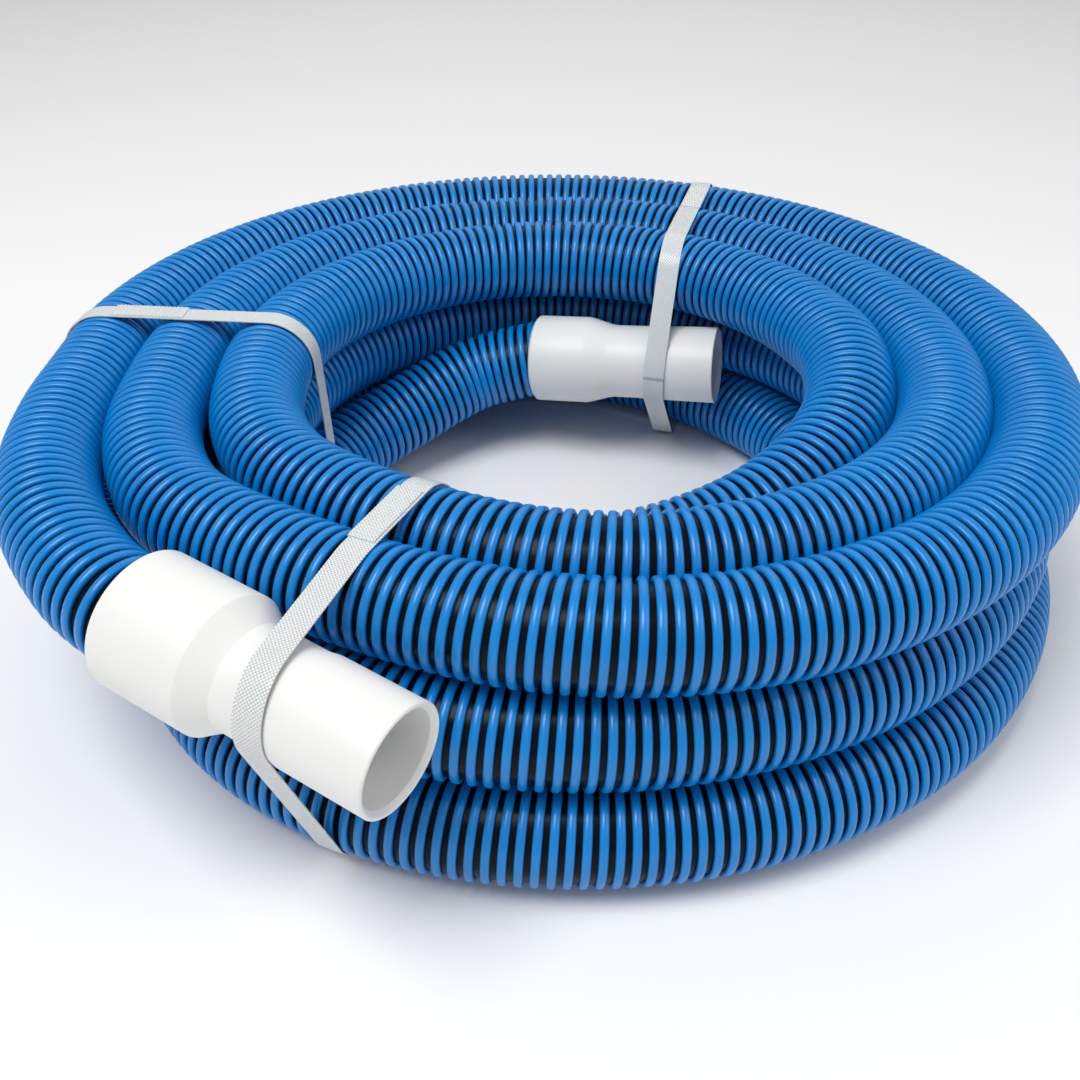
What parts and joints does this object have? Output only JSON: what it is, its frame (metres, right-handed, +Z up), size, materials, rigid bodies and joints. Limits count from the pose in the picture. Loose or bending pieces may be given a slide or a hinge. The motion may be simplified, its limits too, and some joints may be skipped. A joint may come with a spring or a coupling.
{
  "type": "pool vacuum hose",
  "caption": "Spiral-wound pool vacuum hose coiled in three layers, with a swivel cuff, a fixed cuff and three strapping bands.",
  "frame": {"origin": "centre of the part's box on the surface that it lies on, which is within 10 mm of the coil's axis", "axes": "+Z up along the coil's axis; the swivel cuff is on the -X -Y side and its mouth points towards +X -Y"},
  "size_m": [0.5161, 0.5288, 0.1383],
  "materials": {
    "hose_rib": "satin azure blue EVA",
    "hose_wall": "slightly glossy black EVA",
    "sleeve": "moulded dark grey ABS",
    "seal": "black rubber",
    "cuff": "matte off-white moulded plastic",
    "strap": "embossed translucent white polypropylene strapping"
  },
  "bodies": {
    "coil": {"hose_top_layer": "hose_rib", "hose_middle_layer": "hose_rib", "hose_bottom_layer": "hose_rib", "hose_crossover": "hose_rib", "hose_front_lead": "hose_rib", "hose_back_lead": "hose_rib", "hose_front_end": "hose_wall", "hose_back_end": "hose_wall", "swivel_sleeve": "sleeve", "swivel_seal_ring": "seal", "fixed_cuff": "cuff", "front_strap": "strap", "side_strap": "strap", "back_strap": "strap"},
    "swivel": {"swivel_cuff": "cuff", "swivel_retaining_ring": "cuff"}
  },
  "joints": [
    {"name": "swivel_turn", "type": "hinge", "parent": "coil", "child": "swivel", "pos_m": [-0.172, -0.1745, 0.11], "axis": [0.7962, -0.6, -0.0785], "continuous": true}
  ]
}
